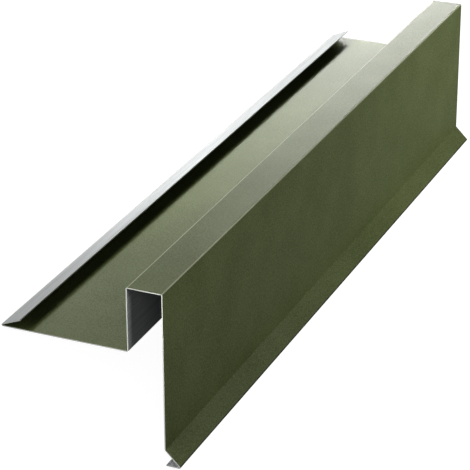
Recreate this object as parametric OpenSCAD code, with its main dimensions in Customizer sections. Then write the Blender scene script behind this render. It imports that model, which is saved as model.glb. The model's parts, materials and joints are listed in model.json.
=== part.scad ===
// Verge trim: one strip of coated steel sheet, folded along its length.
// The section is walked from the lip's free edge to the return's free edge,
// one flat and one bend after the other, and is then pulled along the length.
// Flange widths are outside sizes, as a folder's drawing gives them.

/* [Flanges] */
// Length of the strip, along the roof's edge
strip_length = 583; // [200:1:2500]
// Lip turned back over the roof flange, from its fold to its free edge
lip_w = 15; // [8:0.5:25]
// Roof flange, from the lip's fold to the upstand's far face
roof_w = 90; // [60:1:180]
// Upstand, from the underside of the roof flange to the top of the cap
upstand_h = 45; // [25:1:80]
// Cap, over both of its bends
cap_w = 25; // [15:1:60]
// Fascia, from the top of the cap to the drip's crease
fascia_h = 110; // [90:1:220]
// Drip, from its crease to its fold
drip_w = 15; // [8:0.5:25]
// Return behind the drip's fold, from the fold to the free edge
return_w = 10; // [5:0.5:18]

/* [Bends] */
// Angle between the lip and the roof flange below it
lip_open = 22; // [10:1:60]
// Angle by which the drip kicks out of the fascia's plane
drip_kick = 45; // [20:1:60]
// Inside radius of the square bends and the crease
bend_r = 0.5; // [0.2:0.1:2]
// Inside radius of the two folded edges
fold_r = 0.3; // [0.2:0.1:1]

/* [Sheet] */
// Thickness of the sheet with its coats
gauge = 0.7; // [0.4:0.05:1.2]

/* [Hidden] */

// Widest step of an arc, in degrees
arc_step = 9;

// Signed turn and inside radius of each bend, a left turn being positive
turns = [180 - lip_open, 90, -90, -90, drip_kick, drip_kick - 180];
inside_r = [fold_r, bend_r, bend_r, bend_r, bend_r, fold_r];
bend_out = bend_r + gauge;
fold_out = fold_r + gauge;

// The crease is measured to the corner that its two outer faces would make
crease_setback = bend_r * tan(drip_kick / 2);

// What is left of each flange between its bends
flats = [
    lip_w - fold_out,
    roof_w - fold_out - bend_out,
    upstand_h - 2 * bend_out,
    cap_w - 2 * bend_out,
    fascia_h - bend_out - crease_setback,
    drip_w - crease_setback - fold_out,
    return_w - fold_out
];
last = len(flats) - 1;

function dir(angle) = [cos(angle), sin(angle)];
function side_of(i) = sign(turns[i]);
function mid_r(i) = inside_r[i] + gauge / 2;

// Heading of each flat: the lip runs down to its fold, the roof flange runs level
function heading(i) = i == 0 ? 180 + lip_open : heading(i - 1) + turns[i - 1];
function flat_start(i) = i == 0 ? [0, 0] : on_bend(i - 1, mid_r(i - 1), heading(i));
function flat_end(i) = flat_start(i) + flats[i] * dir(heading(i));
function bend_centre(i) = flat_end(i) + side_of(i) * mid_r(i) * dir(heading(i) + 90);

// Point of bend i on the radius r, where the strip runs at the given heading
function on_bend(i, r, angle) = bend_centre(i) - side_of(i) * r * dir(angle + 90);
function bend_points(i, face) =
    let (
        steps = ceil(abs(turns[i]) / arc_step),
        r = mid_r(i) - side_of(i) * face * gauge / 2
    )
    [for (k = [0:steps]) on_bend(i, r, heading(i) + turns[i] * k / steps)];

// One face of the strip: 1 is the coated weather face, -1 the reverse
function face_points(face) = concat(
    [flat_start(0) + face * gauge / 2 * dir(heading(0) + 90)],
    [for (i = [0:last - 1]) each bend_points(i, face)],
    [flat_end(last) + face * gauge / 2 * dir(heading(last) + 90)]
);
function reversed(list) = [for (i = [len(list) - 1:-1:0]) list[i]];
outline = concat(face_points(1), reversed(face_points(-1)));

// Unheld, the strip lies on the lip's fold and on the return's free edge
fold_centre = bend_centre(0);
return_edge = flat_end(last) + gauge / 2 * dir(heading(last) + 90);
span = return_edge - fold_centre;
rest_tilt = atan2(-span.y, span.x) - asin(fold_out / norm(span));
function turned(p) = [
    p.x * cos(rest_tilt) - p.y * sin(rest_tilt),
    p.x * sin(rest_tilt) + p.y * cos(rest_tilt)
];
lying = [for (p = outline) turned(p)];
lying_x = [for (p = lying) p.x];
lying_z = [for (p = lying) p.y];
to_origin = [-(min(lying_x) + max(lying_x)) / 2, -min(lying_z)];

module verge_trim() {
    color("#4b5236")
    rotate([90, 0, 0])
    linear_extrude(strip_length, center = true)
    polygon([for (p = lying) p + to_origin]);
}

verge_trim();
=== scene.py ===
import json
import math

import bpy
from mathutils import Matrix, Vector


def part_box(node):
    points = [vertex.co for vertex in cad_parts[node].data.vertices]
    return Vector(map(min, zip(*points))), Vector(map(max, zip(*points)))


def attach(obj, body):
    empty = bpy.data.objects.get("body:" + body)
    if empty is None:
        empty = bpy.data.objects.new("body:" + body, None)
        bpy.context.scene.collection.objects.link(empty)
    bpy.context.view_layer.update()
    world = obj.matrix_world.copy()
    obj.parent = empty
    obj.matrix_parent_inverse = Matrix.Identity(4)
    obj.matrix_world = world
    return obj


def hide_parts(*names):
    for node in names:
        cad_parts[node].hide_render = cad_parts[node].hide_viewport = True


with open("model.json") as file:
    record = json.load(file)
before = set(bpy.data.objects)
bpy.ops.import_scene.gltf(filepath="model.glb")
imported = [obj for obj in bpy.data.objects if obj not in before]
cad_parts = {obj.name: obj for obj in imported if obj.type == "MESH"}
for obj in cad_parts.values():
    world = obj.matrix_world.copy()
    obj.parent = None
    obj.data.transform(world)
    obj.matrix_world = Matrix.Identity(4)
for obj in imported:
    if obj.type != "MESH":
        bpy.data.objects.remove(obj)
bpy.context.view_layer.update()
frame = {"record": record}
mm = 0.001
print("frame loaded")


def addNode(tree, kind, inputs=None, **settings):
    # A node given as an input stands for its first output
    node = tree.nodes.new(kind)
    for name, value in settings.items():
        setattr(node, name, value)
    for key, value in (inputs or {}).items():
        if isinstance(value, bpy.types.Node):
            value = value.outputs[0]
        if isinstance(value, bpy.types.NodeSocket):
            tree.links.new(value, node.inputs[key])
        else:
            node.inputs[key].default_value = value
    return node


def linearColour(hexColour):
    channels = [int(hexColour[i:i + 2], 16) / 255 for i in (1, 3, 5)]
    return [c / 12.92 if c <= 0.04045 else ((c + 0.055) / 1.055) ** 2.4 for c in channels] + [1]


def newMaterial(name):
    material = bpy.data.materials.new(name)
    material.use_nodes = True
    material.node_tree.nodes.clear()
    return material, material.node_tree


# Finishes

coat = {
    "dark": "#394021",
    "light": "#4D5535",
    # painted highlight: paler colour on the upward-facing crowns of two bends
    "crownHighlight": "#8A8D76",
    # painted shade: dark line on the two tight folds
    "foldShade": "#23261A",
    "grain": 1.0 * mm,     # the real grit is about 0.2 mm, drawn coarser so that it shows at all
    "cloud": 45 * mm,
    "relief": 0.10 * mm,
    "roughness": 0.425,
    "specular": 0.0074,
}


def texturedCoat():
    # Fine-textured matt polyester coil coat: the grit breaks the sheen up and leaves a dry, even green;
    # the coat carries a painted highlight, paler, on the upper crowns of two bends, and painted shade, a dark line, at
    # each tight fold
    material, tree = newMaterial("matt textured polyester coat")
    place = addNode(tree, "ShaderNodeTexCoord").outputs["Object"]
    grit = addNode(tree, "ShaderNodeTexNoise", {
        "Vector": place, "Scale": 1 / coat["grain"], "Detail": 3.0, "Roughness": 0.6})
    cloud = addNode(tree, "ShaderNodeTexNoise", {"Vector": place, "Scale": 1 / coat["cloud"], "Detail": 2.0})
    blend = addNode(tree, "ShaderNodeMath", {0: grit, 1: 0.8}, operation="MULTIPLY")
    blend = addNode(tree, "ShaderNodeMath", {0: cloud, 1: 0.2, 2: blend}, operation="MULTIPLY_ADD")
    tone = addNode(tree, "ShaderNodeValToRGB", {"Fac": blend})
    tone.color_ramp.elements[0].position = 0.40
    tone.color_ramp.elements[0].color = linearColour(coat["dark"])
    tone.color_ramp.elements[1].position = 0.60
    tone.color_ramp.elements[1].color = linearColour(coat["light"])
    crownHighlight = addNode(tree, "ShaderNodeAttribute", attribute_name="crownHighlight")
    colour = addNode(tree, "ShaderNodeMix", {
        0: crownHighlight.outputs["Fac"], 6: tone, 7: linearColour(coat["crownHighlight"])}, data_type="RGBA")
    foldShade = addNode(tree, "ShaderNodeAttribute", attribute_name="foldShade")
    colour = addNode(tree, "ShaderNodeMix", {
        0: foldShade.outputs["Fac"], 6: colour.outputs[2], 7: linearColour(coat["foldShade"])}, data_type="RGBA")
    relief = addNode(tree, "ShaderNodeBump", {"Height": grit, "Distance": coat["relief"], "Strength": 1.0})
    shader = addNode(tree, "ShaderNodeBsdfPrincipled", {
        "Base Color": colour.outputs[2], "Roughness": coat["roughness"], "Specular IOR Level": coat["specular"],
        "Normal": relief})
    addNode(tree, "ShaderNodeOutputMaterial", {"Surface": shader})
    return material


backing = {
    "dark": "#787A7A",
    "light": "#868888",
    # painted shade on the tight folds
    "foldShade": "#626464",
    "line": 0.7 * mm,      # across the strip, and drawn out along it
    "drawn": 90 * mm,
    "relief": 0.01 * mm,
    "roughness": 0.5,
    "specular": 0.006,
}


def backingCoat():
    # Thin grey backing lacquer on the reverse: its fine roller lines run along the strip,
    # and painted shade darkens its tight folds, the lip's fold among them
    material, tree = newMaterial("grey backing lacquer")
    place = addNode(tree, "ShaderNodeTexCoord").outputs["Object"]
    drawn = addNode(tree, "ShaderNodeMapping", {
        "Vector": place, "Scale": (1 / backing["line"], 1 / backing["drawn"], 1 / backing["line"])})
    lines = addNode(tree, "ShaderNodeTexNoise", {"Vector": drawn, "Scale": 1.0, "Detail": 2.0})
    tone = addNode(tree, "ShaderNodeValToRGB", {"Fac": lines})
    tone.color_ramp.elements[0].position = 0.40
    tone.color_ramp.elements[0].color = linearColour(backing["dark"])
    tone.color_ramp.elements[1].position = 0.60
    tone.color_ramp.elements[1].color = linearColour(backing["light"])
    foldShade = addNode(tree, "ShaderNodeAttribute", attribute_name="foldShade")
    colour = addNode(tree, "ShaderNodeMix", {
        0: foldShade.outputs["Fac"], 6: tone, 7: linearColour(backing["foldShade"])}, data_type="RGBA")
    relief = addNode(tree, "ShaderNodeBump", {"Height": lines, "Distance": backing["relief"], "Strength": 1.0})
    shader = addNode(tree, "ShaderNodeBsdfPrincipled", {
        "Base Color": colour.outputs[2], "Roughness": backing["roughness"], "Specular IOR Level": backing["specular"],
        "Normal": relief})
    addNode(tree, "ShaderNodeOutputMaterial", {"Surface": shader})
    return material


cutSteel = {
    "colour": "#A2A49E",
    "streak": 0.12 * mm,
    "roughness": 0.6,
}


def shearedEdge():
    # Sheared galvanised steel: bare, pale and finely torn across the thickness
    material, tree = newMaterial("sheared zinc-coated steel")
    place = addNode(tree, "ShaderNodeTexCoord").outputs["Object"]
    tear = addNode(tree, "ShaderNodeTexNoise", {"Vector": place, "Scale": 1 / cutSteel["streak"], "Detail": 2.0})
    relief = addNode(tree, "ShaderNodeBump", {"Height": tear, "Distance": 0.01 * mm, "Strength": 0.6})
    shader = addNode(tree, "ShaderNodeBsdfPrincipled", {
        "Base Color": linearColour(cutSteel["colour"]), "Metallic": 1.0, "Roughness": cutSteel["roughness"],
        "Normal": relief})
    addNode(tree, "ShaderNodeOutputMaterial", {"Surface": shader})
    return material


# The strip, as a folder's drawing gives it: outside widths, and angles as they are turned
strip = {
    "lip": 15 * mm,
    "roofFlange": 90 * mm,
    "upstand": 45 * mm,
    "cap": 25 * mm,
    "fascia": 110 * mm,
    "drip": 15 * mm,
    "return": 10 * mm,
    "lipOpen": math.radians(22),
    "dripKick": math.radians(45),
    "bendRadius": 0.5 * mm,
    "foldRadius": 0.3 * mm,
    "gauge": 0.7 * mm,
    "arcPoints": 16,
}


def straightStretches():
    # What each flange keeps between its bends, from the lip's free edge to the return's
    bendOut = strip["bendRadius"] + strip["gauge"]
    foldOut = strip["foldRadius"] + strip["gauge"]
    crease = strip["bendRadius"] * math.tan(strip["dripKick"] / 2)
    return {
        "Lip": strip["lip"] - foldOut,
        "Roof flange": strip["roofFlange"] - foldOut - bendOut,
        "Upstand": strip["upstand"] - 2 * bendOut,
        "Cap": strip["cap"] - 2 * bendOut,
        "Fascia": strip["fascia"] - bendOut - crease,
        "Drip": strip["drip"] - crease - foldOut,
        "Return": strip["return"] - foldOut,
    }


def foldedStripTree(stretchNames):
    tree = bpy.data.node_groups.new("foldedStrip", "GeometryNodeTree")
    tree.interface.new_socket(name="Mesh", in_out="OUTPUT", socket_type="NodeSocketGeometry")
    for name in [*stretchNames, "Length", "Gauge", "Bend radius", "Fold radius", "Heading", "Lip fold", "Drip kick"]:
        tree.interface.new_socket(name=name, in_out="INPUT", socket_type="NodeSocketFloat")
    tree.interface.new_socket(name="Arc points", in_out="INPUT", socket_type="NodeSocketInt")
    for name in ("Weather coat", "Backing coat", "Cut edge"):
        tree.interface.new_socket(name=name, in_out="INPUT", socket_type="NodeSocketMaterial")
    given = addNode(tree, "NodeGroupInput").outputs
    index = addNode(tree, "GeometryNodeInputIndex")
    corners = len(stretchNames) + 1

    # Centre-line radius and turn at each corner, the first and last being the free edges
    halfGauge = addNode(tree, "ShaderNodeMath", {0: given["Gauge"], 1: 0.5}, operation="MULTIPLY")
    bend = addNode(tree, "ShaderNodeMath", {0: given["Bend radius"], 1: halfGauge}, operation="ADD")
    fold = addNode(tree, "ShaderNodeMath", {0: given["Fold radius"], 1: halfGauge}, operation="ADD")
    dripFold = addNode(tree, "ShaderNodeMath", {0: given["Drip kick"], 1: math.pi}, operation="SUBTRACT")
    square = math.pi / 2
    byCorner = {
        "stretch": [given[name] for name in stretchNames] + [0.0],
        "radius": [0.0, fold, bend, bend, bend, bend, fold, 0.0],
        "turn": [given["Heading"], given["Lip fold"], square, -square, -square, given["Drip kick"], dripFold, 0.0],
        "highlightWeight": [0.0, 0.0, 0.0, 0.7, 1.0, 0.0, 0.0, 0.0],         # weight of the painted highlight on the weather coat's crown
        "crease": [0.0, 1.0, 0.0, 0.0, 0.0, 0.0, 1.0, 0.0],       # the two tight folds, of the lip and of the drip, that get painted shade
    }
    field = {}
    for name, values in byCorner.items():
        node = addNode(tree, "GeometryNodeIndexSwitch", data_type="FLOAT")
        while len(node.index_switch_items) < corners:
            node.index_switch_items.new()
        tree.links.new(index.outputs[0], node.inputs["Index"])
        for corner, value in enumerate(values):
            socket = node.inputs[corner + 1]
            if isinstance(value, float):
                socket.default_value = value
            else:
                tree.links.new(value.outputs[0] if isinstance(value, bpy.types.Node) else value, socket)
        field[name] = node

    # Walk the corners: a bend's set-back lengthens the stretches on both of its sides
    heading = addNode(tree, "GeometryNodeAccumulateField", {"Value": field["turn"]}, data_type="FLOAT").outputs["Leading"]
    halfTurn = addNode(tree, "ShaderNodeMath", {0: field["turn"], 1: 0.5}, operation="MULTIPLY")
    tangent = addNode(tree, "ShaderNodeMath", {0: halfTurn}, operation="TANGENT")
    tangent = addNode(tree, "ShaderNodeMath", {0: tangent}, operation="ABSOLUTE")
    setback = addNode(tree, "ShaderNodeMath", {0: field["radius"], 1: tangent}, operation="MULTIPLY")
    nextCorner = addNode(tree, "ShaderNodeMath", {0: index, 1: 1.0}, operation="ADD")
    nextSetback = addNode(tree, "GeometryNodeFieldAtIndex", {"Value": setback, "Index": nextCorner}, data_type="FLOAT")
    reach = addNode(tree, "ShaderNodeMath", {0: field["stretch"], 1: setback}, operation="ADD")
    reach = addNode(tree, "ShaderNodeMath", {0: reach, 1: nextSetback}, operation="ADD")
    across = addNode(tree, "ShaderNodeMath", {0: heading}, operation="COSINE")
    up = addNode(tree, "ShaderNodeMath", {0: heading}, operation="SINE")
    step = addNode(tree, "ShaderNodeCombineXYZ", {
        "X": addNode(tree, "ShaderNodeMath", {0: across, 1: reach}, operation="MULTIPLY"),
        "Z": addNode(tree, "ShaderNodeMath", {0: up, 1: reach}, operation="MULTIPLY")})
    place = addNode(tree, "GeometryNodeAccumulateField", {"Value": step}, data_type="FLOAT_VECTOR").outputs["Trailing"]

    # Round the corners, and pull the centre line along the length
    points = addNode(tree, "GeometryNodePoints", {"Count": corners})
    placed = addNode(tree, "GeometryNodeSetPosition", {"Geometry": points, "Position": place})
    marked = placed
    for name in ("highlightWeight", "crease"):
        marked = addNode(tree, "GeometryNodeStoreNamedAttribute", {
            "Geometry": marked, "Name": name, "Value": field[name]}, data_type="FLOAT", domain="POINT")
    line = addNode(tree, "GeometryNodePointsToCurves", {"Points": marked})
    rounded = addNode(tree, "GeometryNodeFilletCurve", {
        "Curve": line, "Count": given["Arc points"], "Radius": field["radius"]}, mode="POLY")
    halfLength = addNode(tree, "ShaderNodeMath", {0: given["Length"], 1: 0.5}, operation="MULTIPLY")
    minusHalf = addNode(tree, "ShaderNodeMath", {0: given["Length"], 1: -0.5}, operation="MULTIPLY")
    lengthLine = addNode(tree, "GeometryNodeCurvePrimitiveLine", {
        "Start": addNode(tree, "ShaderNodeCombineXYZ", {"X": minusHalf}),
        "End": addNode(tree, "ShaderNodeCombineXYZ", {"X": halfLength})})
    sheet = addNode(tree, "GeometryNodeCurveToMesh", {"Curve": rounded, "Profile Curve": lengthLine})

    # Give it its gauge about the centre line, with both faces and the four cut edges closed
    normal = addNode(tree, "GeometryNodeInputNormal")
    toFace = addNode(tree, "ShaderNodeVectorMath", {0: normal, "Scale": addNode(
        tree, "ShaderNodeMath", {0: given["Gauge"], 1: -0.5}, operation="MULTIPLY")}, operation="SCALE")
    lower = addNode(tree, "GeometryNodeSetPosition", {"Geometry": sheet, "Offset": toFace})
    raised = addNode(tree, "GeometryNodeExtrudeMesh", {
        "Mesh": lower, "Offset Scale": given["Gauge"], "Individual": False}, mode="FACES")
    under = addNode(tree, "GeometryNodeFlipFaces", {"Mesh": lower})
    whole = addNode(tree, "GeometryNodeJoinGeometry")
    tree.links.new(raised.outputs["Mesh"], whole.inputs[0])
    tree.links.new(under.outputs["Mesh"], whole.inputs[0])
    closed = addNode(tree, "GeometryNodeMergeByDistance", {"Geometry": whole, "Distance": 0.001 * mm})

    # Only the bends are shaded round, and they break off sharply at the cut edges
    area = addNode(tree, "GeometryNodeInputMeshFaceArea")
    widest = addNode(tree, "ShaderNodeMath", {0: given["Length"], 1: given["Gauge"]}, operation="MULTIPLY")
    isNarrow = addNode(tree, "FunctionNodeCompare", {0: area, 1: widest}, data_type="FLOAT", operation="LESS_THAN")
    isBend = addNode(tree, "FunctionNodeBooleanMath", {0: isNarrow, 1: raised.outputs["Side"]}, operation="NIMPLY")
    edgeAngle = addNode(tree, "GeometryNodeInputMeshEdgeAngle")
    isGentle = addNode(tree, "FunctionNodeCompare", {
        0: edgeAngle, 1: math.radians(30)}, data_type="FLOAT", operation="LESS_THAN")
    shaded = addNode(tree, "GeometryNodeSetShadeSmooth", {"Geometry": closed, "Shade Smooth": isBend}, domain="FACE")
    shaded = addNode(tree, "GeometryNodeSetShadeSmooth", {"Geometry": shaded, "Shade Smooth": isGentle}, domain="EDGE")

    # Painted highlight: the coat is painted paler on the upward-facing crowns of the two upper folds, the higher the
    # weight the narrower the crown
    highlightWeight = addNode(tree, "GeometryNodeInputNamedAttribute", {"Name": "highlightWeight"}, data_type="FLOAT")
    faceNormal = addNode(tree, "ShaderNodeSeparateXYZ", {"Vector": addNode(tree, "GeometryNodeInputNormal")})
    crownFrom = addNode(tree, "ShaderNodeMath", {0: highlightWeight, 1: 3.0}, operation="POWER")
    crownFrom = addNode(tree, "ShaderNodeMath", {0: crownFrom, 1: 0.93}, operation="MULTIPLY")
    isCrown = addNode(tree, "FunctionNodeCompare", {
        0: faceNormal.outputs["Z"], 1: crownFrom}, data_type="FLOAT", operation="GREATER_THAN")
    crownHighlight = addNode(tree, "ShaderNodeMath", {0: highlightWeight, 1: isBend}, operation="MULTIPLY")
    crownHighlight = addNode(tree, "ShaderNodeMath", {0: crownHighlight, 1: isCrown}, operation="MULTIPLY")
    told = addNode(tree, "GeometryNodeStoreNamedAttribute", {
        "Geometry": shaded, "Name": "crownHighlight", "Value": crownHighlight}, data_type="FLOAT", domain="FACE")

    # and painted shade: both coats are painted darker on the two tight folds
    crease = addNode(tree, "GeometryNodeInputNamedAttribute", {"Name": "crease"}, data_type="FLOAT")
    foldShade = addNode(tree, "ShaderNodeMath", {0: crease, 1: isBend}, operation="MULTIPLY")
    told = addNode(tree, "GeometryNodeStoreNamedAttribute", {
        "Geometry": told, "Name": "foldShade", "Value": foldShade}, data_type="FLOAT", domain="FACE")
    real = addNode(tree, "GeometryNodeRealizeInstances", {"Geometry": told})
    painted = addNode(tree, "GeometryNodeSetMaterial", {"Geometry": real, "Material": given["Weather coat"]})
    painted = addNode(tree, "GeometryNodeSetMaterial", {
        "Geometry": painted, "Selection": raised.outputs["Top"], "Material": given["Backing coat"]})
    painted = addNode(tree, "GeometryNodeSetMaterial", {
        "Geometry": painted, "Selection": raised.outputs["Side"], "Material": given["Cut edge"]})
    addNode(tree, "NodeGroupOutput", {"Mesh": painted})
    return tree


def foldedStrip():
    stretches = straightStretches()
    tree = foldedStripTree(list(stretches))
    low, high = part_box("verge_trim")
    roofSide = next(m for m in frame["record"]["mounts"] if m["name"] == "roof_flange_underside")["axis"]
    restTilt = math.atan2(roofSide[0], -roofSide[2])
    values = {
        **stretches,
        "Length": high.y - low.y,
        "Gauge": strip["gauge"],
        "Bend radius": strip["bendRadius"],
        "Fold radius": strip["foldRadius"],
        "Heading": math.pi + strip["lipOpen"] + restTilt,
        "Lip fold": math.pi - strip["lipOpen"],
        "Drip kick": strip["dripKick"],
        "Arc points": strip["arcPoints"],
        "Weather coat": texturedCoat(),
        "Backing coat": backingCoat(),
        "Cut edge": shearedEdge(),
    }
    maker = bpy.data.objects.new("stripMaker", bpy.data.meshes.new("stripMaker"))
    bpy.context.scene.collection.objects.link(maker)
    modifier = maker.modifiers.new("foldedStrip", "NODES")
    modifier.node_group = tree
    for item in tree.interface.items_tree:
        if item.in_out == "INPUT":
            modifier[item.identifier] = values[item.name]
    bpy.context.view_layer.update()
    made = maker.evaluated_get(bpy.context.evaluated_depsgraph_get())
    mesh = bpy.data.meshes.new_from_object(made)
    bpy.data.objects.remove(maker)

    # The walk starts at the lip's edge: move the mesh onto the frame's own box
    xs = [v.co.x for v in mesh.vertices]
    ys = [v.co.y for v in mesh.vertices]
    zs = [v.co.z for v in mesh.vertices]
    mesh.transform(Matrix.Translation((
        (low.x + high.x - min(xs) - max(xs)) / 2, (low.y + high.y - min(ys) - max(ys)) / 2, low.z - min(zs))))
    mesh.name = "folded_strip"
    piece = bpy.data.objects.new("folded_strip", mesh)
    bpy.context.scene.collection.objects.link(piece)
    mesh.materials.pop(index=0)
    print("strip folded:", len(mesh.polygons), "faces,", [m.name for m in mesh.materials])
    return piece


piece = foldedStrip()
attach(piece, "root")
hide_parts("verge_trim")


# Floor

ground = {
    "size": 12.0,
    "lit": 0.15,        # share that the lamps light, and so the depth of the shadow
    "plain": 0.955,     # share that the camera, metal and glass see whatever the light
}


def whiteFloor():
    # White sheet under the strip: it stays white around the object and keeps a soft grey shadow
    half = ground["size"] / 2
    mesh = bpy.data.meshes.new("floor")
    mesh.from_pydata([(-half, -half, 0), (half, -half, 0), (half, half, 0), (-half, half, 0)], [], [(0, 1, 2, 3)])
    floor = bpy.data.objects.new("floor", mesh)
    bpy.context.scene.collection.objects.link(floor)
    material, tree = newMaterial("white studio floor")
    rays = addNode(tree, "ShaderNodeLightPath").outputs
    seen = addNode(tree, "ShaderNodeMath", {0: rays["Is Camera Ray"], 1: rays["Is Glossy Ray"]}, operation="MAXIMUM")
    seen = addNode(tree, "ShaderNodeMath", {0: seen, 1: rays["Is Transmission Ray"]}, operation="MAXIMUM")
    strength = addNode(tree, "ShaderNodeMath", {0: seen, 1: ground["plain"]}, operation="MULTIPLY")
    plain = addNode(tree, "ShaderNodeEmission", {"Color": (1, 1, 1, 1), "Strength": strength})
    lit = addNode(tree, "ShaderNodeBsdfDiffuse", {"Color": (ground["lit"], ground["lit"], ground["lit"], 1)})
    both = addNode(tree, "ShaderNodeAddShader", {0: plain, 1: lit})
    addNode(tree, "ShaderNodeOutputMaterial", {"Surface": both})
    mesh.materials.append(material)


whiteFloor()


# Camera and light

view = {
    "place": (90.565 * mm, -1343.74 * mm, 876.479 * mm),
    "turn": math.radians(4.375),       # left of straight along the strip
    "dip": math.radians(33.848),
    "roll": math.radians(37.714),      # the photo shows the strip upright, so the camera leans with it
    "lens": 164.508,
}
lens = bpy.data.cameras.new("camera")
lens.lens = view["lens"]
lens.sensor_width = 36
lens.clip_end = 20
camera = bpy.data.objects.new("camera", lens)
bpy.context.scene.collection.objects.link(camera)
aim = Matrix.Rotation(view["turn"], 4, "Z") @ Matrix.Rotation(math.pi / 2 - view["dip"], 4, "X")
camera.matrix_world = Matrix.Translation(view["place"]) @ aim @ Matrix.Rotation(view["roll"], 4, "Z")
bpy.context.scene.camera = camera

lamps = {
    "far window, low": {"place": (-0.4, 1.05, 0.045), "size": (0.4, 0.07), "watts": 19.5},
    "farthest window, low": {"place": (-2.0, 2.4, 0.12), "size": (1.1, 0.2), "watts": 15.9},
    "far wall panel": {"place": (0.3, 3.0, 0.45), "size": (0.9, 0.4), "watts": 10.6},
    "left softbox": {"place": (-1.1, -0.3, 0.2), "size": (0.5, 0.3), "watts": 10.4},
    "near left, low": {"place": (-0.6, -0.7, 0.05), "size": (0.4, 0.08), "watts": 1.2},
    "softbox above the fascia": {"place": (0.28, 0.4, 0.48), "size": (0.15, 0.15), "watts": 4.5},
    "soft front light": {"place": (0.2, -1.8, 1.4), "size": (1.2, 1.0), "watts": 4.72},
    "strip lamp beside the lip": {"place": (-0.24, 0.17, 0.02), "size": (0.42, 0.03), "watts": 0.98, "aim": (-0.065, 0.17, 0.006)},
    "short strip lamp beside the lip": {"place": (-0.22, -0.04, 0.02), "size": (0.15, 0.03), "watts": 0.42, "aim": (-0.065, -0.04, 0.006)},
    "small lamp above the near end": {"place": (0.12, -0.33, 0.3), "size": (0.05, 0.05), "watts": 0.33},
    "small lamp at the near end": {"place": (0.0, -0.4, 0.06), "size": (0.03, 0.03), "watts": 0.15, "aim": (0.06, -0.29, 0.0)},
}
for name, lamp in lamps.items():
    light = bpy.data.lights.new(name, "AREA")
    light.shape = "RECTANGLE"
    light.size, light.size_y = lamp["size"]
    light.energy = lamp["watts"]
    holder = bpy.data.objects.new(name, light)
    holder.location = lamp["place"]
    toward = Vector(lamp.get("aim", (0, 0, 0.05))) - Vector(lamp["place"])
    holder.rotation_euler = toward.to_track_quat("-Z", "Y").to_euler()
    holder.visible_camera = False
    bpy.context.scene.collection.objects.link(holder)

world = bpy.data.worlds.new("studio")
bpy.context.scene.world = world
world.use_nodes = True
world.node_tree.nodes.clear()
background = addNode(world.node_tree, "ShaderNodeBackground", {"Color": (1, 1, 1, 1), "Strength": 0.0})
addNode(world.node_tree, "ShaderNodeOutputWorld", {"Surface": background})
bpy.context.scene.view_settings.view_transform = "Standard"
